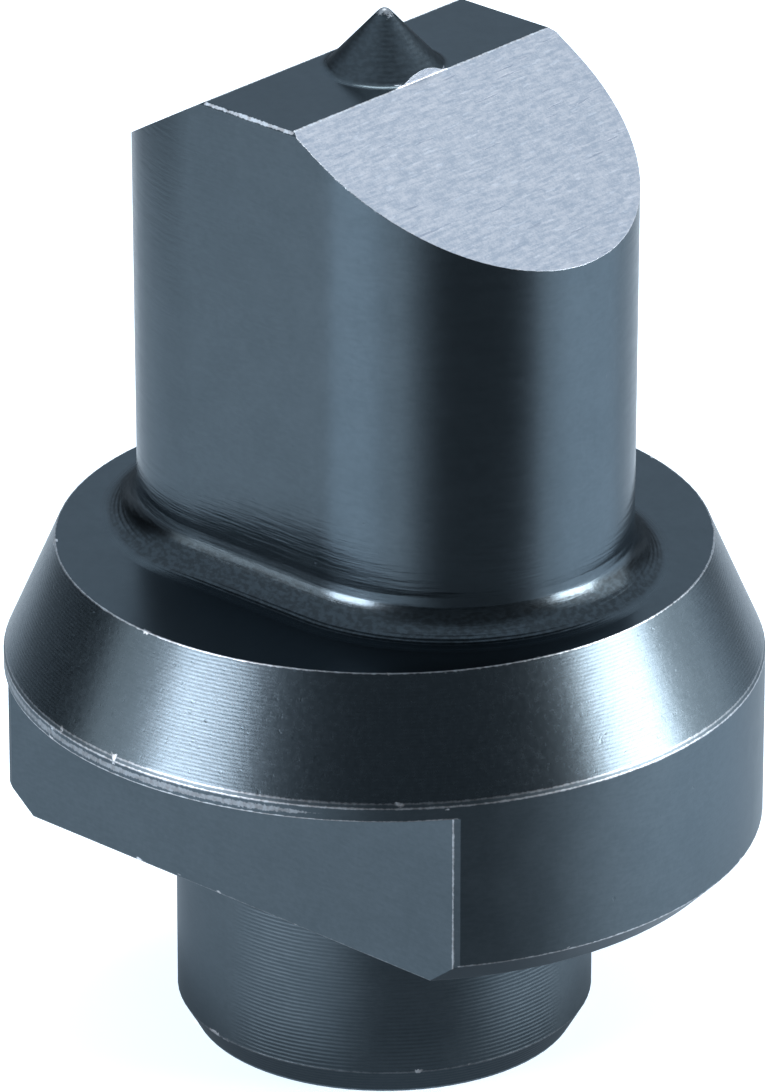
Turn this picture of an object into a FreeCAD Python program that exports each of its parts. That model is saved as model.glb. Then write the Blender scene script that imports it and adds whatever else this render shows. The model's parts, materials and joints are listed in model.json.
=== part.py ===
"""Oval punch: a one-piece slot punch for a hydraulic hole puncher, in millimetres.

The tool stands on its spigot. The origin is the centre of the spigot's end face, Z runs up the
turning axis towards the centre point, X runs along the slot and the key flat faces -Y.
"""
import FreeCAD, Part
import math
import os
import Sketcher

V = FreeCAD.Vector

doc = FreeCAD.newDocument("OvalPunch")

# Driving sizes, in millimetres and degrees
SIZES = [
    ("blade_length", 20.64, "slot length cut by the blade, 13/16 in"),
    ("blade_width", 14.29, "slot width cut by the blade, 9/16 in"),
    ("blade_height", 19.0, "collar's top face to the land"),
    ("blade_relief", 0.25, "taper of each wall of the blade towards its root"),
    ("blade_root_radius", 1.5, "fillet between the blade and the collar"),
    ("land_width", 4.4, "flat strip between the two shear faces"),
    ("land_offset", -0.27, "middle of the land, measured from the axis along X"),
    ("land_edge_break", 0.15, "break on the land's two short edges"),
    ("roof_angle", 30.6, "slope of each shear face"),
    ("point_height", 2.3, "land to the rounded tip of the centre point"),
    ("point_angle", 85.0, "included angle of the centre point"),
    ("point_tip_radius", 0.33, "rounding of the centre point's tip"),
    ("point_root_radius", 0.4, "fillet at the foot of the centre point"),
    ("collar_diameter", 29.0, "collar's cylinder"),
    ("collar_height", 12.2, "collar's underside to its top face"),
    ("collar_foot_break", 1.0, "chamfer round the collar's underside"),
    ("top_face_diameter", 25.0, "flat top of the collar, where the clamping cone starts"),
    ("cone_height", 4.4, "height of the clamping cone"),
    ("rim_break_width", 0.07, "break between the cone and the cylinder, across"),
    ("rim_break_height", 0.17, "break between the cone and the cylinder, upright"),
    ("key_flat_distance", 8.75, "axis to the key flat"),
    ("key_flat_height", 7.1, "collar's underside to the key flat's shoulder"),
    ("key_flat_edge_break", 0.16, "break on the key flat's two upright edges"),
    ("spigot_diameter", 16.0, "locating spigot"),
    ("spigot_length", 7.8, "spigot's end face to the collar's underside"),
    ("spigot_root_radius", 0.3, "fillet between the spigot and the collar's underside"),
    ("spigot_lead_length", 1.1, "lead-in chamfer of the spigot, along the axis"),
    ("spigot_lead_angle", 30.0, "lead-in chamfer of the spigot, from the axis"),
    ("cutter_overrun", 2.0, "how far the cuts run past the metal"),
]

sheet = doc.addObject("Spreadsheet::Sheet", "Sizes")
for row, (alias, value, meaning) in enumerate(SIZES, start=1):
    sheet.set(f"A{row}", alias)
    sheet.set(f"B{row}", str(value))
    sheet.set(f"C{row}", meaning)
    sheet.setAlias(f"B{row}", alias)
doc.recompute()

size = {alias: float(sheet.get(alias)) for alias, _, _ in SIZES}

# Heights and half sizes that several features share, as expressions and as numbers
TOP_FACE_Z = "(Sizes.spigot_length + Sizes.collar_height)"
LAND_Z = "(Sizes.spigot_length + Sizes.collar_height + Sizes.blade_height)"
top_face_z = size["spigot_length"] + size["collar_height"]
land_z = top_face_z + size["blade_height"]
spigot_radius = size["spigot_diameter"] / 2
collar_radius = size["collar_diameter"] / 2
top_face_radius = size["top_face_diameter"] / 2
end_radius = size["blade_width"] / 2
end_centre = (size["blade_length"] - size["blade_width"]) / 2

body = doc.addObject("PartDesign::Body", "PunchBody")
body.Label = "punch_body"
body.Placement = FreeCAD.Placement(V(0, 0, 0), FreeCAD.Rotation())

START, END, CENTRE = range(1, 4)
ORIGIN = (-1, START)
Z_AXIS = -2


def origin_plane(role):
    return next(plane for plane in body.Origin.OriginFeatures if plane.Role == role)


def new_sketch(name, role, lift=None):
    """A sketch on one of the body's origin planes, raised along its normal by an expression."""
    sketch = body.newObject("Sketcher::SketchObject", name)
    sketch.AttachmentSupport = [(origin_plane(role), "")]
    sketch.MapMode = "FlatFace"
    if lift:
        sketch.setExpression("AttachmentOffset.Base.z", lift)
    return sketch


def outline(sketch, points):
    """Joins the points into a closed outline of straight lines and returns the lines' numbers."""
    lines = []
    for first, second in zip(points, points[1:] + points[:1]):
        lines.append(sketch.addGeometry(Part.LineSegment(V(*first, 0), V(*second, 0)), False))
    for line, following in zip(lines, lines[1:] + lines[:1]):
        sketch.addConstraint(Sketcher.Constraint("Coincident", line, END, following, START))
    return lines


def rule(sketch, kind, *where):
    """A constraint with no size."""
    return sketch.addConstraint(Sketcher.Constraint(kind, *where))


def dimension(sketch, kind, where, value, expression):
    """A constraint whose size follows the sheet."""
    index = sketch.addConstraint(Sketcher.Constraint(kind, *where, value))
    sketch.setExpression(f"Constraints[{index}]", expression)


def edges_of(shape, wanted):
    """Names of the shape's edges that the test picks."""
    return [f"Edge{n}" for n, edge in enumerate(shape.Edges, start=1) if wanted(edge)]


def dress(kind, name, base, wanted, sizes):
    """A fillet or chamfer on the edges of the base feature that the test picks."""
    doc.recompute()
    feature = body.newObject(f"PartDesign::{kind}", name)
    feature.Base = (base, edges_of(base.Shape, wanted))
    for prop, expression in sizes.items():
        feature.setExpression(prop, expression)
    return feature


def same(first, second, slack=1e-4):
    """True where two lengths are equal."""
    return abs(first - second) < slack


def level(edge, z):
    """True for an edge that lies at one height."""
    return same(edge.BoundBox.ZMin, z) and same(edge.BoundBox.ZMax, z)


def reach_of(edge):
    """How far an edge's ends lie from the axis, at most."""
    return max(math.hypot(v.X, v.Y) for v in edge.Vertexes)


def ring(edge, z, radius):
    """True for a circle round the axis at one height."""
    return level(edge, z) and edge.Curve.TypeId == "Part::GeomCircle" and same(edge.Curve.Radius, radius)


# The turned blank: spigot, collar and clamping cone, as half of its outline
lead_depth = size["spigot_lead_length"] * math.tan(math.radians(size["spigot_lead_angle"]))
cone_foot_z = top_face_z - size["cone_height"]
turned = new_sketch("TurnedOutline", "XZ_Plane")
(
    end_face,
    lead,
    spigot_wall,
    underside,
    foot_break,
    collar_wall,
    rim_break,
    cone,
    top_face,
    axis_line,
) = outline(
    turned,
    [
        (0, 0),
        (spigot_radius - lead_depth, 0),
        (spigot_radius, size["spigot_lead_length"]),
        (spigot_radius, size["spigot_length"]),
        (collar_radius - size["collar_foot_break"], size["spigot_length"]),
        (collar_radius, size["spigot_length"] + size["collar_foot_break"]),
        (collar_radius, cone_foot_z - size["rim_break_height"]),
        (collar_radius - size["rim_break_width"], cone_foot_z),
        (top_face_radius, top_face_z),
        (0, top_face_z),
    ],
)
rule(turned, "Coincident", end_face, START, *ORIGIN)
for flat_line in (end_face, underside, top_face):
    rule(turned, "Horizontal", flat_line)
for upright in (spigot_wall, collar_wall, axis_line):
    rule(turned, "Vertical", upright)
dimension(turned, "DistanceX", (*ORIGIN, lead, END), spigot_radius, "Sizes.spigot_diameter / 2")
dimension(turned, "DistanceX", (*ORIGIN, foot_break, END), collar_radius, "Sizes.collar_diameter / 2")
dimension(turned, "DistanceX", (*ORIGIN, cone, END), top_face_radius, "Sizes.top_face_diameter / 2")
dimension(
    turned, "DistanceY", (lead, START, lead, END), size["spigot_lead_length"], "Sizes.spigot_lead_length"
)
dimension(
    turned,
    "DistanceX",
    (lead, START, lead, END),
    lead_depth,
    "Sizes.spigot_lead_length * tan(Sizes.spigot_lead_angle * 1 deg)",
)
dimension(
    turned, "DistanceY", (*ORIGIN, spigot_wall, END), size["spigot_length"], "Sizes.spigot_length"
)
for direction in ("DistanceX", "DistanceY"):
    dimension(
        turned,
        direction,
        (foot_break, START, foot_break, END),
        size["collar_foot_break"],
        "Sizes.collar_foot_break",
    )
dimension(
    turned, "DistanceX", (cone, START, rim_break, START), size["rim_break_width"], "Sizes.rim_break_width"
)
dimension(
    turned,
    "DistanceY",
    (rim_break, START, rim_break, END),
    size["rim_break_height"],
    "Sizes.rim_break_height",
)
dimension(turned, "DistanceY", (cone, START, cone, END), size["cone_height"], "Sizes.cone_height")
dimension(
    turned, "DistanceY", (underside, START, cone, END), size["collar_height"], "Sizes.collar_height"
)

blank = body.newObject("PartDesign::Revolution", "TurnedBlank")
blank.Profile = turned
blank.ReferenceAxis = (turned, ["V_Axis"])
blank.Angle = 360

spigot_root = dress(
    "Fillet",
    "SpigotRoot",
    blank,
    lambda edge: ring(edge, size["spigot_length"], spigot_radius),
    {"Radius": "Sizes.spigot_root_radius"},
)

# The blade: the slot's outline at the land, drawn down to the collar with relief on every wall
slot = new_sketch("SlotOutline", "XY_Plane", LAND_Z)
front_line = slot.addGeometry(
    Part.LineSegment(V(-end_centre, -end_radius, 0), V(end_centre, -end_radius, 0)), False
)
right_end = slot.addGeometry(
    Part.ArcOfCircle(
        Part.Circle(V(end_centre, 0, 0), V(0, 0, 1), end_radius), -math.pi / 2, math.pi / 2
    ),
    False,
)
back_line = slot.addGeometry(
    Part.LineSegment(V(end_centre, end_radius, 0), V(-end_centre, end_radius, 0)), False
)
left_end = slot.addGeometry(
    Part.ArcOfCircle(
        Part.Circle(V(-end_centre, 0, 0), V(0, 0, 1), end_radius), math.pi / 2, 3 * math.pi / 2
    ),
    False,
)
rule(slot, "Tangent", front_line, END, right_end, START)
rule(slot, "Tangent", right_end, END, back_line, START)
rule(slot, "Tangent", back_line, END, left_end, START)
rule(slot, "Tangent", left_end, END, front_line, START)
rule(slot, "Horizontal", front_line)
rule(slot, "Equal", right_end, left_end)
rule(slot, "Symmetric", right_end, CENTRE, left_end, CENTRE, *ORIGIN)
dimension(slot, "Radius", (right_end,), end_radius, "Sizes.blade_width / 2")
dimension(
    slot,
    "DistanceX",
    (left_end, CENTRE, right_end, CENTRE),
    2 * end_centre,
    "Sizes.blade_length - Sizes.blade_width",
)

blade = body.newObject("PartDesign::Pad", "Blade")
blade.Profile = slot
blade.Reversed = True
blade.setExpression("Length", "Sizes.blade_height")
blade.setExpression("TaperAngle", "-Sizes.blade_relief")

# The fillet at its foot stays on the collar's top face, however long the blade is
blade_root = dress(
    "Fillet",
    "BladeRoot",
    blade,
    lambda edge: level(edge, top_face_z) and not same(reach_of(edge), top_face_radius),
    {"Radius": "min(Sizes.blade_root_radius; (Sizes.top_face_diameter - Sizes.blade_length) / 2)"},
)

# The centre point: a cone with a rounded tip, turned on the land
half_angle = math.radians(size["point_angle"] / 2)
tip_radius = size["point_tip_radius"]
tip_centre_z = land_z + size["point_height"] - tip_radius
tangent_x = tip_radius * math.cos(half_angle)
tangent_z = tip_centre_z + tip_radius * math.sin(half_angle)
foot_radius = tangent_x + (tangent_z - land_z) * math.tan(half_angle)
point_outline = new_sketch("PointOutline", "XZ_Plane")
foot = point_outline.addGeometry(Part.LineSegment(V(0, land_z, 0), V(foot_radius, land_z, 0)), False)
flank = point_outline.addGeometry(
    Part.LineSegment(V(foot_radius, land_z, 0), V(tangent_x, tangent_z, 0)), False
)
tip = point_outline.addGeometry(
    Part.ArcOfCircle(
        Part.Circle(V(0, tip_centre_z, 0), V(0, 0, 1), tip_radius), half_angle, math.pi / 2
    ),
    False,
)
core = point_outline.addGeometry(
    Part.LineSegment(V(0, tip_centre_z + tip_radius, 0), V(0, land_z, 0)), False
)
rule(point_outline, "Coincident", foot, END, flank, START)
rule(point_outline, "Tangent", flank, END, tip, START)
rule(point_outline, "Coincident", tip, END, core, START)
rule(point_outline, "Coincident", core, END, foot, START)
rule(point_outline, "Horizontal", foot)
rule(point_outline, "PointOnObject", core, START, Z_AXIS)
rule(point_outline, "PointOnObject", core, END, Z_AXIS)
rule(point_outline, "PointOnObject", tip, CENTRE, Z_AXIS)
dimension(point_outline, "DistanceY", (*ORIGIN, foot, START), land_z, LAND_Z)
dimension(
    point_outline, "DistanceY", (core, END, core, START), size["point_height"], "Sizes.point_height"
)
dimension(point_outline, "Radius", (tip,), tip_radius, "Sizes.point_tip_radius")
dimension(
    point_outline,
    "Angle",
    (flank, START, foot, END),
    math.pi / 2 - half_angle,
    "90 deg - Sizes.point_angle * 0.5 deg",
)

point = body.newObject("PartDesign::Revolution", "CentrePoint")
point.Profile = point_outline
point.ReferenceAxis = (point_outline, ["V_Axis"])
point.Angle = 360

point_root = dress(
    "Fillet",
    "PointRoot",
    point,
    lambda edge: ring(edge, land_z, foot_radius),
    {"Radius": "Sizes.point_root_radius"},
)

# The two shear faces: each sloping cut starts at the land's long edge and takes off the rest
reach = size["blade_length"] / 2 + size["cutter_overrun"]
rise = size["point_height"] + size["cutter_overrun"]
roof = new_sketch("RoofCuts", "XZ_Plane")
for side in (1, -1):
    land_edge_x = side * size["land_width"] / 2 + size["land_offset"]
    drop = (reach - side * land_edge_x) * math.tan(math.radians(size["roof_angle"]))
    slope, outer, upper, inner = outline(
        roof,
        [
            (land_edge_x, land_z),
            (side * reach, land_z - drop),
            (side * reach, land_z + rise),
            (land_edge_x, land_z + rise),
        ],
    )
    rule(roof, "Vertical", outer)
    rule(roof, "Horizontal", upper)
    rule(roof, "Vertical", inner)
    dimension(roof, "DistanceY", (*ORIGIN, slope, START), land_z, LAND_Z)
    dimension(
        roof,
        "DistanceX",
        (*ORIGIN, slope, START),
        land_edge_x,
        f"{side} * Sizes.land_width / 2 + Sizes.land_offset",
    )
    dimension(
        roof,
        "DistanceX",
        (*ORIGIN, outer, START),
        side * reach,
        f"{side} * (Sizes.blade_length / 2 + Sizes.cutter_overrun)",
    )
    dimension(
        roof,
        "DistanceY",
        (inner, END, inner, START),
        rise,
        "Sizes.point_height + Sizes.cutter_overrun",
    )
    dimension(
        roof,
        "DistanceY",
        (slope, END, slope, START),
        drop,
        f"(Sizes.blade_length / 2 + Sizes.cutter_overrun - {side} * Sizes.land_offset"
        " - Sizes.land_width / 2) * tan(Sizes.roof_angle * 1 deg)",
    )

shear_faces = body.newObject("PartDesign::Pocket", "ShearFaces")
shear_faces.Profile = roof
shear_faces.SideType = "Symmetric"
shear_faces.setExpression("Length", "Sizes.blade_width + 2 * Sizes.cutter_overrun")

land_ends = dress(
    "Chamfer",
    "LandEnds",
    shear_faces,
    lambda edge: level(edge, land_z) and same(edge.BoundBox.YLength, 0),
    {"Size": "Sizes.land_edge_break"},
)

# The key flat: a straight cut across the front of the collar, up to a square shoulder
key = new_sketch("KeyFlatCut", "XY_Plane", "Sizes.spigot_length")
cut_reach = collar_radius + size["cutter_overrun"]
near_line, right_line, flat_edge, left_line = outline(
    key,
    [
        (-cut_reach, -cut_reach),
        (cut_reach, -cut_reach),
        (cut_reach, -size["key_flat_distance"]),
        (-cut_reach, -size["key_flat_distance"]),
    ],
)
rule(key, "Symmetric", near_line, START, near_line, END, Z_AXIS)
rule(key, "Horizontal", flat_edge)
for side_line in (right_line, left_line):
    rule(key, "Vertical", side_line)
dimension(
    key,
    "DistanceX",
    (near_line, START, near_line, END),
    2 * cut_reach,
    "Sizes.collar_diameter + 2 * Sizes.cutter_overrun",
)
dimension(
    key,
    "DistanceY",
    (near_line, START, *ORIGIN),
    cut_reach,
    "Sizes.collar_diameter / 2 + Sizes.cutter_overrun",
)
dimension(
    key, "DistanceY", (flat_edge, START, *ORIGIN), size["key_flat_distance"], "Sizes.key_flat_distance"
)

key_flat = body.newObject("PartDesign::Pocket", "KeyFlat")
key_flat.Profile = key
key_flat.Reversed = True
key_flat.setExpression("Length", "Sizes.key_flat_height")

key_flat_edges = dress(
    "Chamfer",
    "KeyFlatEdges",
    key_flat,
    lambda edge: all(same(v.Y, -size["key_flat_distance"]) for v in edge.Vertexes)
    and same(edge.BoundBox.XLength, 0)
    and edge.BoundBox.ZLength > size["key_flat_edge_break"],
    {"Size": "Sizes.key_flat_edge_break"},
)
body.Tip = key_flat_edges
doc.recompute()

# Every feature has to have worked, and every cut has to have taken metal away
for item in doc.Objects:
    if {"Invalid", "Error"} & set(item.State):
        raise RuntimeError(f"{item.Name} failed: {item.State}")
for cut, before in ((shear_faces, point_root), (key_flat, land_ends)):
    if cut.Shape.Volume >= before.Shape.Volume:
        raise RuntimeError(f"{cut.Name} removes nothing")

sub_parts = [item for item in doc.Objects if item.TypeId == "PartDesign::Body"]
for sub_part in sub_parts:
    if sub_part.Shape.isNull() or not sub_part.Shape.isValid() or len(sub_part.Shape.Solids) != 1:
        raise RuntimeError(f"{sub_part.Label} is not one valid solid")

os.makedirs("parts", exist_ok=True)
for sub_part in sub_parts:
    sub_part.Shape.exportStep(f"parts/{sub_part.Label}.step")
    box = sub_part.Shape.BoundBox
    print(
        sub_part.Label,
        f"{box.XLength:.3f} x {box.YLength:.3f} x {box.ZLength:.3f} mm",
        f"{sub_part.Shape.Volume:.1f} mm3",
    )
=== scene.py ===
"""Oval punch: blackened tool steel with ground shear faces, on a lit white table."""

import json
import math

import bpy
from mathutils import Matrix, Vector

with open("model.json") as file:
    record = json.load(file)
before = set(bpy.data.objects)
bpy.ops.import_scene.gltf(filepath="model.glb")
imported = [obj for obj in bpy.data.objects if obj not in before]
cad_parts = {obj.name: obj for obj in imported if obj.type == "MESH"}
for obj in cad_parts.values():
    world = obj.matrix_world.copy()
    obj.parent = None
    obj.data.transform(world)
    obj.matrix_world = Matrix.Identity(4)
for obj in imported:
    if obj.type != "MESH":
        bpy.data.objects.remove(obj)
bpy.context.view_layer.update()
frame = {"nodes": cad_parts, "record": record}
scene = bpy.context.scene
scene.view_settings.view_transform = "Standard"
UP = Vector((0, 0, 1))
PER_METRE = 1000
MILLIMETRE = 0.001

# Sizes of the tool in millimetres, as far as its finish follows them
mounts = {mount["name"]: mount for mount in frame["record"]["mounts"]}
SPIGOT_RADIUS = mounts["spigot"]["dims"]["r_mm"]
SPIGOT_LEAD = 1.1
SPIGOT_END_RADIUS = 7.365
UNDERSIDE_Z = mounts["collar_seat"]["pos_m"][2] * PER_METRE
KEY_FLAT_Y = mounts["key_flat"]["pos_m"][1] * PER_METRE
KEY_FLAT_HALF_WIDTH = 11.53
KEY_CORNER_INSET = 0.13
KEY_SHOULDER_Z = 14.9
COLLAR_RADIUS = 14.5
FOOT_BREAK = 1.0
CONE_FOOT_RADIUS = 14.43
CONE_FOOT_Z = 15.6
RIM_Z = 15.43
TOP_FACE_RADIUS = 12.5
TOP_FACE_Z = 20.0
ROOT_RADIUS = 1.5
BLADE_END_RADIUS = 7.145
BLADE_END_CENTRE = 3.175
LAND_Z = 39.0
LAND_MIDDLE_X = -0.27
LAND_HALF_WIDTH = 2.2
LAND_END_INSET = 0.07
ROOF_SLOPE = math.radians(30.6)
POINT_TOP_Z = 41.3
ROUNDED_EDGE = 0.04


class Graph:
    """Adds nodes to a material or world and hands back their output sockets."""

    def __init__(self, tree):
        self.tree = tree

    def feed(self, socket, value):
        """Links a socket to another one, or sets it to a plain value."""
        if isinstance(value, bpy.types.NodeSocket):
            self.tree.links.new(value, socket)
        else:
            socket.default_value = value

    def add(self, kind, **settings):
        node = self.tree.nodes.new(kind)
        for name, value in settings.items():
            setattr(node, name, value)
        return node

    def math(self, operation, *values, clamp=False):
        node = self.add("ShaderNodeMath", operation=operation, use_clamp=clamp)
        for socket, value in zip(node.inputs, values):
            self.feed(socket, value)
        return node.outputs[0]

    def vector(self, operation, *values):
        node = self.add("ShaderNodeVectorMath", operation=operation)
        for socket, value in zip(node.inputs, values):
            self.feed(socket, value)
        return node.outputs["Value" if operation in ("LENGTH", "DISTANCE", "DOT_PRODUCT") else "Vector"]

    def combine(self, x, y, z):
        node = self.add("ShaderNodeCombineXYZ")
        for socket, value in zip(node.inputs, (x, y, z)):
            self.feed(socket, value)
        return node.outputs[0]

    def ramp(self, value, start, end):
        """0 at start and 1 at end, smooth between; start may be the larger one."""
        node = self.add("ShaderNodeMapRange", interpolation_type="SMOOTHSTEP")
        low, high = (0.0, 1.0) if start < end else (1.0, 0.0)
        pairs = (("Value", value), ("From Min", min(start, end)), ("From Max", max(start, end)))
        for name, setting in pairs + (("To Min", low), ("To Max", high)):
            self.feed(node.inputs[name], setting)
        return node.outputs[0]

    def band(self, value, low, high, soft):
        """1 between low and high, with soft ends."""
        return self.math("MULTIPLY", self.ramp(value, low - soft, low), self.ramp(value, high + soft, high))

    def noise(self, place, scale, detail=3.0, rough=0.5):
        """Noise from 0 to 1 about 0.5, at scale features per millimetre."""
        node = self.add("ShaderNodeTexNoise")
        for name, value in (("Vector", place), ("Scale", scale), ("Detail", detail), ("Roughness", rough)):
            self.feed(node.inputs[name], value)
        return node.outputs["Fac"]

    def stretched(self, place, squeeze, scale, detail=3.0):
        """Noise drawn out along the axes that have a small squeeze."""
        return self.noise(self.vector("MULTIPLY", place, squeeze), scale, detail)

    def mix(self, factor, first, second):
        node = self.add("ShaderNodeMix", data_type="FLOAT")
        for name, value in (("Factor", factor), ("A", first), ("B", second)):
            self.feed(next(s for s in node.inputs if s.name == name and s.type == "VALUE"), value)
        return next(s for s in node.outputs if s.type == "VALUE")

    def mix_colour(self, factor, first, second):
        node = self.add("ShaderNodeMix", data_type="RGBA")
        self.feed(node.inputs[0], factor)
        for name, value in (("A", first), ("B", second)):
            self.feed(next(s for s in node.inputs if s.name == name and s.type == "RGBA"), value)
        return next(s for s in node.outputs if s.type == "RGBA")

    def total(self, first, *others):
        for other in others:
            first = self.math("ADD", first, other)
        return first

    def product(self, first, *others):
        for other in others:
            first = self.math("MULTIPLY", first, other)
        return first

    def least(self, first, *others):
        for other in others:
            first = self.math("MINIMUM", first, other)
        return first

    def apart(self, across, centre_across, along, centre_along):
        """Distance from an edge that is a point in the plane of the two coordinates."""
        return self.vector(
            "LENGTH",
            self.combine(
                self.math("SUBTRACT", across, centre_across),
                self.math("SUBTRACT", along, centre_along),
                0.0,
            ),
        )


def colour(red, green, blue):
    return (red, green, blue, 1.0)


# The finish

def tool_steel():
    """Blue-black oxide on turned and milled steel, worn at the edges and ground off the shear faces, with
    painted shade in the root fillet's crease and a painted highlight on the strip under the cone.
    """
    material = bpy.data.materials.new("blackened_tool_steel")
    material.use_nodes = True
    graph = Graph(material.node_tree)
    shader = material.node_tree.nodes["Principled BSDF"]
    source = graph.add("ShaderNodeTexCoord")
    place = graph.vector("SCALE", source.outputs["Object"])
    place.node.inputs["Scale"].default_value = PER_METRE
    split = graph.add("ShaderNodeSeparateXYZ")
    graph.feed(split.inputs[0], place)
    x, y, z = split.outputs
    facing = graph.add("ShaderNodeSeparateXYZ")
    graph.feed(facing.inputs[0], source.outputs["Normal"])
    normal_x, normal_y, normal_z = facing.outputs
    radius = graph.vector("LENGTH", graph.combine(x, y, 0.0))
    side = graph.math("ABSOLUTE", x)

    # Where each surface is: 1 on it and 0 off it
    past_centre = graph.math("MAXIMUM", graph.math("SUBTRACT", side, BLADE_END_CENTRE), 0.0)
    inside = graph.math(
        "SUBTRACT", BLADE_END_RADIUS, graph.vector("LENGTH", graph.combine(past_centre, y, 0.0))
    )
    off_land = graph.math("ABSOLUTE", graph.math("SUBTRACT", x, LAND_MIDDLE_X))
    past_land = graph.math("MAXIMUM", graph.math("SUBTRACT", off_land, LAND_HALF_WIDTH), 0.0)
    past_edge = graph.math("SUBTRACT", off_land, LAND_HALF_WIDTH)
    roof_plane_z = graph.math("SUBTRACT", LAND_Z, graph.product(past_edge, math.tan(ROOF_SLOPE)))
    roof_z = graph.math("MINIMUM", roof_plane_z, LAND_Z)
    below_roof = graph.math("MAXIMUM", graph.math("SUBTRACT", roof_z, z), 0.0)
    sloping = graph.ramp(graph.math("ABSOLUTE", normal_x), 0.35, 0.45)
    shear = graph.product(
        sloping,
        graph.ramp(normal_z, 0.8, 0.84),
        graph.ramp(graph.math("ABSOLUTE", graph.math("SUBTRACT", roof_plane_z, z)), 0.06, 0.03),
    )
    # The right shear also leaves an upright wall in the foot of the centre point
    point_cut = graph.product(
        graph.ramp(normal_x, 0.9, 0.95),
        graph.ramp(z, LAND_Z - 0.01, LAND_Z + 0.01),
    )
    shear = graph.math("MAXIMUM", shear, point_cut)
    above_collar = graph.ramp(z, TOP_FACE_Z + 0.02, TOP_FACE_Z + 0.1)
    wall = graph.product(above_collar, graph.ramp(normal_z, 0.25, 0.1))
    turned = graph.ramp(z, TOP_FACE_Z + 0.03, TOP_FACE_Z + 0.01)
    cone = graph.product(
        turned,
        graph.ramp(z, CONE_FOOT_Z - 0.02, CONE_FOOT_Z),
        graph.ramp(normal_z, 0.7, 0.6),
    )
    top_face = graph.product(turned, graph.ramp(z, TOP_FACE_Z - 0.03, TOP_FACE_Z - 0.01))
    key_flat = graph.product(
        graph.ramp(normal_y, -0.97, -0.99),
        graph.ramp(z, KEY_SHOULDER_Z + 0.03, KEY_SHOULDER_Z),
        graph.ramp(y, KEY_FLAT_Y + 0.06, KEY_FLAT_Y + 0.02),
        graph.ramp(z, UNDERSIDE_Z - 0.04, UNDERSIDE_Z),
    )
    point = graph.ramp(z, LAND_Z + 0.02, LAND_Z + 0.1)
    root = graph.product(
        above_collar,
        graph.ramp(z, TOP_FACE_Z + ROOT_RADIUS + 0.3, TOP_FACE_Z + ROOT_RADIUS - 0.3),
    )
    # The lower part of the root fillet gets painted shade in its crease, and the spigot is grooved at its
    # front right alone
    root_low = graph.product(above_collar, graph.ramp(z, TOP_FACE_Z + 1.15, TOP_FACE_Z + 0.85))
    spigot_wall = graph.ramp(z, UNDERSIDE_Z, UNDERSIDE_Z - 0.4)
    spigot_marked = graph.product(spigot_wall, graph.ramp(x, -1.0, 1.0), graph.ramp(y, 1.5, 0.0))

    # Distance from the nearest edge of each kind
    collar_rings = [
        (COLLAR_RADIUS, RIM_Z),
        (COLLAR_RADIUS, UNDERSIDE_Z + FOOT_BREAK),
    ]
    lower_rings = [
        (COLLAR_RADIUS - FOOT_BREAK, UNDERSIDE_Z),
        (SPIGOT_RADIUS, SPIGOT_LEAD),
        (SPIGOT_END_RADIUS, 0.0),
    ]
    collar_edge = graph.least(*(graph.apart(radius, r, z, height) for r, height in collar_rings))
    lower_edge = graph.least(*(graph.apart(radius, r, z, height) for r, height in lower_rings))
    cone_foot = graph.apart(radius, CONE_FOOT_RADIUS, z, CONE_FOOT_Z)
    top_rim = graph.apart(radius, TOP_FACE_RADIUS, z, TOP_FACE_Z)
    cutting_edge = graph.total(inside, graph.product(below_roof, math.cos(ROOF_SLOPE)))
    land_edge = graph.apart(off_land, LAND_HALF_WIDTH, z, LAND_Z)
    land_end = graph.total(
        graph.apart(
            graph.math("ABSOLUTE", y),
            BLADE_END_RADIUS - LAND_END_INSET,
            z,
            LAND_Z - LAND_END_INSET,
        ),
        past_land,
    )
    shoulder_rim = graph.total(
        graph.apart(radius, COLLAR_RADIUS, z, KEY_SHOULDER_Z),
        graph.ramp(y, KEY_FLAT_Y, KEY_FLAT_Y + 0.3),
    )
    key_foot = graph.total(
        graph.apart(y, KEY_FLAT_Y, z, UNDERSIDE_Z),
        graph.ramp(side, KEY_FLAT_HALF_WIDTH, KEY_FLAT_HALF_WIDTH + 0.3),
    )
    key_corner = graph.total(
        graph.apart(x, KEY_FLAT_HALF_WIDTH - KEY_CORNER_INSET, y, KEY_FLAT_Y),
        graph.ramp(z, KEY_SHOULDER_Z, KEY_SHOULDER_Z + 0.3),
    )
    # The narrow strip of the cylinder that the key flat leaves under the cone, with a painted highlight
    # that is fainter to the right
    strip_highlight = graph.total(
        graph.math("ABSOLUTE", graph.math("SUBTRACT", z, (KEY_SHOULDER_Z + RIM_Z) / 2)),
        graph.ramp(y, KEY_FLAT_Y - 0.3, KEY_FLAT_Y),
        graph.ramp(radius, COLLAR_RADIUS - 0.02, COLLAR_RADIUS - 0.1),
        graph.product(graph.ramp(x, 6.0, 9.5), 0.2),
    )
    tip = graph.vector("LENGTH", graph.combine(x, y, graph.math("SUBTRACT", z, POINT_TOP_Z)))

    # Wear: bright steel shows in an uneven line along each edge
    coarse = graph.noise(place, 0.6, 4.0)
    fine = graph.noise(place, 5.0, 3.0, 0.6)
    grit = graph.noise(place, 14.0, 2.0, 0.6)
    grain = graph.stretched(place, (0.25, 0.25, 1.0), 9.0, 3.0)
    uneven = graph.total(
        graph.product(coarse, 0.5),
        graph.product(fine, 0.6),
        graph.product(grit, 0.5),
    )

    def worn(distance, width, amount):
        """How far an edge is worn through, thicker where the noise is high."""
        reach = graph.product(graph.math("SUBTRACT", uneven, 0.45), 2.2 * width)
        return graph.product(graph.ramp(graph.math("SUBTRACT", distance, reach), 0.02, -0.02), amount)

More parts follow.
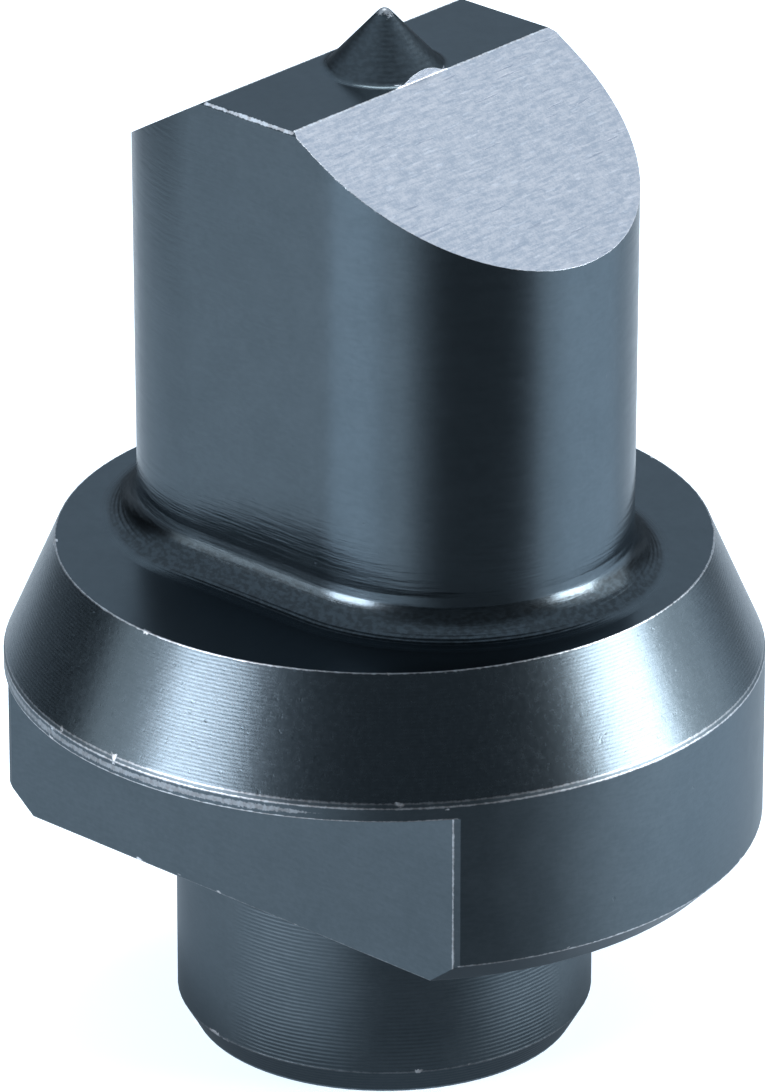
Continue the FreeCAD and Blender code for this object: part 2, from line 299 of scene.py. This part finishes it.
    # Each edge with the width of its worn line and how far the oxide is gone
    wear = worn(collar_edge, 0.045, 0.42)
    for distance, width, amount in (
        (top_rim, 0.05, 0.5),
        (cutting_edge, 0.03, 0.4),
        (cone_foot, 0.045, 0.22),
        (lower_edge, 0.05, 0.12),
        (land_end, 0.075, 1.0),
        (tip, 0.5, 0.35),
        (land_edge, 0.06, 0.8),
        (shoulder_rim, 0.05, 0.5),
        (key_foot, 0.04, 0.12),
        (key_corner, 0.045, 0.3),
        # The strip's light band is a painted highlight in bright steel, fading where the light falls off
        (strip_highlight, 0.13, 0.24),
    ):
        wear = graph.math("MAXIMUM", wear, worn(distance, width, amount))

    nicked = graph.ramp(graph.noise(place, 1.1, 2.0), 0.66, 0.7)
    edges = graph.least(shoulder_rim, key_foot, collar_edge, cone_foot, top_rim, lower_edge)
    wear = graph.math("MAXIMUM", wear, graph.product(worn(edges, 0.12, 0.7), nicked))

    # Colours
    shade = graph.total(
        graph.product(coarse, 0.3),
        graph.product(fine, 0.35),
        graph.product(grain, 0.35),
    )
    oxide = graph.mix_colour(
        graph.ramp(shade, 0.3, 0.7),
        colour(0.064, 0.081, 0.093),
        colour(0.077, 0.096, 0.110),
    )
    blotch = graph.ramp(graph.stretched(place, (0.5, 0.5, 1.0), 8.0, 4.0), 0.62, 0.4)
    # Painted shade darkens the lower part of the root fillet in its crease, in blotches; the centre point
    # is darkened the same way, less strongly
    crease_shade_and_dark_point = graph.product(
        graph.math("MAXIMUM", root_low, graph.product(point, 0.6)),
        graph.mix(blotch, 0.4, 0.85),
    )
    oxide = graph.mix_colour(crease_shade_and_dark_point, oxide, colour(0.034, 0.040, 0.044))
    streaks = graph.stretched(place, (1.0, 0.14, 1.0), 9.0, 4.0)
    flecks = graph.ramp(graph.stretched(place, (1.0, 0.2, 1.0), 7.0, 2.0), 0.62, 0.7)
    mottle = graph.noise(place, 3.5, 5.0, 0.7)
    scratches = graph.ramp(graph.stretched(place, (1.0, 0.07, 1.0), 6.0, 2.0), 0.68, 0.72)
    ground_tone = graph.total(
        graph.product(streaks, 0.4),
        graph.product(mottle, 0.38),
        graph.product(grit, 0.22),
    )
    ground = graph.mix_colour(
        graph.ramp(ground_tone, 0.36, 0.64),
        colour(0.42, 0.45, 0.51),
        colour(0.62, 0.61, 0.64),
    )
    ground = graph.mix_colour(graph.product(scratches, 0.5), ground, colour(0.26, 0.29, 0.36))
    ground = graph.mix_colour(graph.product(flecks, 0.35), ground, colour(0.78, 0.78, 0.82))
    bright = graph.mix_colour(
        graph.ramp(fine, 0.35, 0.65),
        colour(0.56, 0.53, 0.53),
        colour(0.84, 0.86, 0.9),
    )
    # The wall in the point's foot is duller than the shear faces
    ground_off = graph.math("SUBTRACT", shear, graph.product(point_cut, 0.65))
    paint = graph.mix_colour(ground_off, oxide, ground)
    paint = graph.mix_colour(wear, paint, bright)
    graph.feed(shader.inputs["Base Color"], paint)
    shader.inputs["Metallic"].default_value = 1.0
    shader.inputs["Specular Tint"].default_value = colour(0.7, 0.72, 0.74)

    # Roughness
    smear = graph.stretched(place, (0.35, 0.35, 1.6), 1.5, 4.0)
    rough = graph.total(0.17, graph.product(smear, 0.12))
    rough = graph.mix(turned, rough, graph.total(0.31, graph.product(coarse, 0.14)))
    rough = graph.mix(graph.math("SUBTRACT", spigot_wall, spigot_marked), rough, 0.45)
    rough = graph.mix(top_face, rough, 0.27)
    rough = graph.mix(cone, rough, graph.total(0.2, graph.product(fine, 0.12)))
    rough = graph.mix(key_flat, rough, 0.3)
    rough = graph.mix(root, rough, graph.total(0.18, graph.product(fine, 0.08)))
    rough = graph.mix(point, rough, graph.total(0.26, graph.product(fine, 0.22)))
    rough = graph.mix(shear, rough, graph.total(0.32, graph.product(streaks, 0.16)))
    rough = graph.mix(wear, rough, 0.38)
    graph.feed(shader.inputs["Roughness"], rough)

    # Relief in millimetres: tool marks, grinding lines, scratches and pits
    def grooves(along, pitch, depth, where):
        """Even grooves across a coordinate, on one surface."""
        wave = graph.math("SINE", graph.product(along, 2 * math.pi / pitch))
        return graph.product(wave, depth / 2, where)

    collar_wall = graph.product(graph.ramp(radius, COLLAR_RADIUS - 0.04, COLLAR_RADIUS - 0.01), turned)
    wander = graph.total(z, graph.product(graph.noise(place, 0.35, 2.0), 0.1))
    wall_lines = graph.stretched(place, (0.12, 0.12, 1.0), 7.0, 4.0)
    foot_lines = graph.stretched(place, (0.06, 0.06, 1.0), 6.0, 3.0)
    near_foot = graph.product(wall, graph.ramp(z, TOP_FACE_Z + 4.5, TOP_FACE_Z + 2.5))
    root_foot = graph.product(root, graph.ramp(z, TOP_FACE_Z + 0.45, TOP_FACE_Z + 0.3))
    relief = graph.total(
        grooves(wander, 0.13, 0.0009, cone),
        grooves(wander, 0.162, 0.007, spigot_marked),
        grooves(z, 0.15, 0.002, point),
        grooves(inside, 0.16, 0.006, root_foot),
        graph.product(graph.ramp(graph.noise(place, 3.2, 2.0, 0.6), 0.66, 0.74), -0.0022, cone),
        graph.product(graph.noise(place, 3.0, 3.0, 0.6), 0.0028, cone),
        graph.product(fine, 0.004, point),
        graph.product(foot_lines, 0.012, graph.math("SUBTRACT", near_foot, root)),
        grooves(wander, 0.13, 0.0004, collar_wall),
        grooves(radius, 0.11, 0.0002, top_face),
        graph.product(wall_lines, 0.004, wall),
        graph.product(graph.stretched(place, (0.1, 0.1, 1.0), 8.0, 4.0), 0.002, key_flat),
        graph.product(streaks, 0.008, shear),
        graph.product(scratches, -0.003, shear),
        graph.product(graph.stretched(place, (0.5, 0.5, 1.0), 7.0, 3.0), 0.0022, root),
        graph.product(grit, 0.0012),
        graph.product(graph.ramp(graph.noise(place, 1.8, 2.0), 0.76, 0.8), -0.006),
    )
    bump = graph.add("ShaderNodeBump")
    bump.inputs["Distance"].default_value = MILLIMETRE
    graph.feed(bump.inputs["Height"], relief)
    rounded = graph.add("ShaderNodeBevel", samples=6)
    rounded.inputs["Radius"].default_value = ROUNDED_EDGE * MILLIMETRE

    # The mesh's normals waver at seams of the turned and milled walls: there, where they nearly agree with
    # the direction straight out of the axis or of the blade's spine, that direction takes their place
    on_blade = graph.math("SUBTRACT", above_collar, point)
    nearest_x = graph.math("MINIMUM", graph.math("MAXIMUM", x, -BLADE_END_CENTRE), BLADE_END_CENTRE)
    spine_x = graph.product(nearest_x, on_blade)
    outward = graph.vector("NORMALIZE", graph.combine(graph.math("SUBTRACT", x, spine_x), y, 0.0))
    sideways = graph.vector("MULTIPLY", source.outputs["Normal"], (1.0, 1.0, 0.0))
    agreement = graph.vector("DOT_PRODUCT", outward, graph.vector("NORMALIZE", sideways))
    curved = graph.product(
        graph.ramp(agreement, 0.978, 0.99),
        graph.math("SUBTRACT", 1.0, graph.math("MAXIMUM", key_flat, shear)),
    )
    reach = graph.product(graph.vector("LENGTH", sideways), curved)
    aimed = graph.vector("MULTIPLY", outward, graph.combine(reach, reach, 0.0))
    replaced = graph.vector("MULTIPLY", sideways, graph.combine(curved, curved, 0.0))
    turn = graph.vector("SUBTRACT", aimed, replaced)
    smooth = graph.vector("NORMALIZE", graph.vector("ADD", rounded.outputs[0], turn))
    graph.feed(bump.inputs["Normal"], smooth)
    graph.feed(shader.inputs["Normal"], bump.outputs[0])
    return material


for node in frame["nodes"].values():
    for slot in node.material_slots:
        slot.material = tool_steel()


# The camera, where the photograph was taken from: distances in metres, pixels of the photograph
PHOTO_HEIGHT = 1092
FOCAL_PIXELS = 9605.5
SENSOR = 36.0
CAMERA_AZIMUTH = math.radians(42.37)
CAMERA_ELEVATION = math.radians(24.54)
CAMERA_DISTANCE = 0.36379
CAMERA_AIM = Vector((0.00013, -0.00017, 0.01953))

toward = Vector((math.sin(CAMERA_AZIMUTH), -math.cos(CAMERA_AZIMUTH), 0))
rightward = Vector((math.cos(CAMERA_AZIMUTH), math.sin(CAMERA_AZIMUTH), 0))


def direction(turn, elevation):
    """A direction out of the tool: turn is in degrees from the camera's side towards the image's right."""
    turn = math.radians(turn)
    elevation = math.radians(elevation)
    level = math.cos(turn) * toward + math.sin(turn) * rightward
    return math.cos(elevation) * level + math.sin(elevation) * UP


def looking(place, back):
    """The matrix of a camera or a light at a place, with its back that way and its top upwards."""
    right = UP.cross(back).normalized()
    top = back.cross(right)
    columns = (right, top, back, place)
    return Matrix([[column[row] for column in columns] for row in range(3)] + [[0, 0, 0, 1]])


camera = bpy.data.objects.new("camera", bpy.data.cameras.new("camera"))
camera.data.sensor_width = SENSOR
camera.data.lens = FOCAL_PIXELS * SENSOR / PHOTO_HEIGHT
camera.data.clip_start = 0.01
back = direction(0, math.degrees(CAMERA_ELEVATION))
camera.matrix_world = looking(CAMERA_AIM + CAMERA_DISTANCE * back, back)
scene.collection.objects.link(camera)
scene.camera = camera


# Studio light
LIGHT_TARGET = Vector((0, 0, 0.02))
COOL = (0.84, 1.0, 1.16)


def softbox(name, turn, elevation, distance, width, height, radiance, tint):
    """A rectangular soft light that faces the tool."""
    light = bpy.data.objects.new(name, bpy.data.lights.new(name, "AREA"))
    light.data.color = tint
    light.data.shape = "RECTANGLE"
    light.data.size = width
    light.data.size_y = height
    light.data.energy = radiance * math.pi * width * height
    away = direction(turn, elevation)
    light.matrix_world = looking(LIGHT_TARGET + distance * away, away)
    light.visible_camera = False
    scene.collection.objects.link(light)


# Name, turn and elevation in degrees, distance, width and height in metres, radiance and tint
softbox("left_softbox", -57, 7, 0.4, 0.18, 0.12, 17.0, (0.92, 0.94, 1.0))
softbox("left_glow", -80, 7, 0.42, 0.24, 0.12, 1.75, (0.9, 0.96, 1.0))
softbox("right_softbox", 79, 6, 0.4, 0.19, 0.12, 19.0, (0.96, 0.98, 1.0))
softbox("right_glow", 96, 14, 0.42, 0.4, 0.24, 2.2, (0.9, 0.96, 1.0))
softbox("back_softbox", 180, 66, 0.5, 0.22, 0.16, 7.0, (0.96, 1.0, 1.0))


def studio_air():
    """The room: pale behind the tool and above it, dark on the camera's side."""
    world = bpy.data.worlds.new("studio_air")
    world.use_nodes = True
    graph = Graph(world.node_tree)
    source = graph.add("ShaderNodeTexCoord")
    ahead = graph.vector("DOT_PRODUCT", source.outputs["Generated"], tuple(direction(16, 10)))
    height = graph.vector("DOT_PRODUCT", source.outputs["Generated"], (0.0, 0.0, 1.0))
    level = graph.mix(graph.ramp(height, 0.03, 0.42), 0.12, 0.82)
    level = graph.product(level, graph.mix(graph.ramp(ahead, 0.85, 0.35), 0.2, 1.0))
    aside = graph.vector("DOT_PRODUCT", source.outputs["Generated"], tuple(direction(-128, 0)))
    level = graph.product(level, graph.mix(graph.ramp(aside, 0.86, 0.98), 1.0, 0.15))
    background = world.node_tree.nodes["Background"]
    background.inputs["Color"].default_value = colour(*COOL)
    graph.feed(background.inputs["Strength"], level)
    scene.world = world


def sheet(name, half, height):
    """A flat square sheet that lies level."""
    mesh = bpy.data.meshes.new(name)
    corners = [(-half, -half), (half, -half), (half, half), (-half, half)]
    mesh.from_pydata([(x, y, height) for x, y in corners], [], [(0, 1, 2, 3)])
    piece = bpy.data.objects.new(name, mesh)
    scene.collection.objects.link(piece)
    return piece


def white_table():
    """A pale table, lit from below so that the tool throws hardly any shadow."""
    table = sheet("table", 1.5, 0.0)
    material = bpy.data.materials.new("lit_table")
    material.use_nodes = True
    shader = material.node_tree.nodes["Principled BSDF"]
    shader.inputs["Base Color"].default_value = colour(0.8, 0.8, 0.8)
    shader.inputs["Roughness"].default_value = 0.9
    shader.inputs["Specular IOR Level"].default_value = 0.0
    shader.inputs["Emission Color"].default_value = colour(*COOL)
    shader.inputs["Emission Strength"].default_value = 0.78
    table.data.materials.append(material)


def painted_table_shade_and_light():
    """A dark sheet on the table that paints shade into the tool's reflections: before the tool, beneath it
    and far off, with painted pools of light beside it. Only the tool's gloss shows it.
    """
    card = sheet("painted_table_shade_and_light", 1.2, 0.0001)
    material = bpy.data.materials.new("painted_shade_and_light_sheet")
    material.use_nodes = True
    graph = Graph(material.node_tree)
    shader = material.node_tree.nodes["Principled BSDF"]
    shader.inputs["Base Color"].default_value = colour(0.02, 0.02, 0.02)
    shader.inputs["Specular IOR Level"].default_value = 0.0
    place = graph.add("ShaderNodeTexCoord").outputs["Object"]
    level = graph.vector("MULTIPLY", place, (1.0, 1.0, 0.0))
    reach = graph.vector("LENGTH", level)

    def towards(turn, near, far):
        """1 in the sector about a turn, 0 outside it; near and far are the half angles of its soft edge."""
        aim = graph.vector("DOT_PRODUCT", graph.vector("NORMALIZE", level), tuple(direction(turn, 0)))
        return graph.ramp(aim, math.cos(math.radians(far)), math.cos(math.radians(near)))

    # Painted shade on the table before the tool, on the camera's side
    before = graph.mix(graph.ramp(reach, 0.025, 0.06), towards(14, 12, 46), towards(19, 14, 53))
    # Painted shadow of the tool on the table behind it
    shadow_behind = graph.product(
        towards(-170, 20, 75),
        graph.ramp(reach, 0.014, 0.022),
        graph.mix(graph.band(reach, 0.022, 0.037, 0.008), 0.38, 0.62),
    )
    # Painted shade in a band on the table to the tool's left
    left_near = graph.product(towards(-45, 10, 50), graph.band(reach, 0.024, 0.036, 0.005), 0.42)
    # Painted shadow on the table beneath the tool
    shadow_beneath = graph.ramp(reach, 0.0125, 0.0105)
    # Painted shade on the table far off, and far off to the sides
    beyond = graph.product(graph.ramp(reach, 0.09, 0.18), graph.mix(towards(80, 50, 100), 0.9, 0.35))
    far_sides = graph.product(
        graph.math("MAXIMUM", towards(-140, 30, 70), towards(155, 15, 45)),
        graph.ramp(reach, 0.062, 0.12),
        0.85,
    )
    # Painted pools of light on the table to the tool's left and right, where the sheet glows
    lit_left = graph.product(towards(-40, 28, 33), towards(-62, 14, 40), graph.ramp(reach, 0.03, 0.05))
    lit_right = graph.product(towards(91, 12, 43), graph.ramp(reach, 0.018, 0.035))
    lit = graph.math("MAXIMUM", lit_left, lit_right)
    # Painted shade: the whole table is dimmed a little in the tool's reflections
    alpha = graph.math("MAXIMUM", before, 0.24)
    for part in (shadow_behind, lit, left_near, shadow_beneath, beyond, far_sides):
        alpha = graph.math("MAXIMUM", alpha, part)
    graph.feed(shader.inputs["Alpha"], alpha)
    # The sheet's glow sets how dark the painted shade is and how bright the painted pools of light are
    glow = graph.mix(graph.ramp(reach, 0.03, 0.07), 0.24, 0.13)
    glow = graph.mix(shadow_beneath, glow, 0.38)
    graph.feed(shader.inputs["Emission Strength"], graph.mix(lit, glow, 1.9))
    shader.inputs["Emission Color"].default_value = colour(*COOL)
    card.data.materials.append(material)
    card.visible_camera = False
    card.visible_diffuse = False
    card.visible_shadow = False
    card.visible_transmission = False


studio_air()
white_table()
painted_table_shade_and_light()
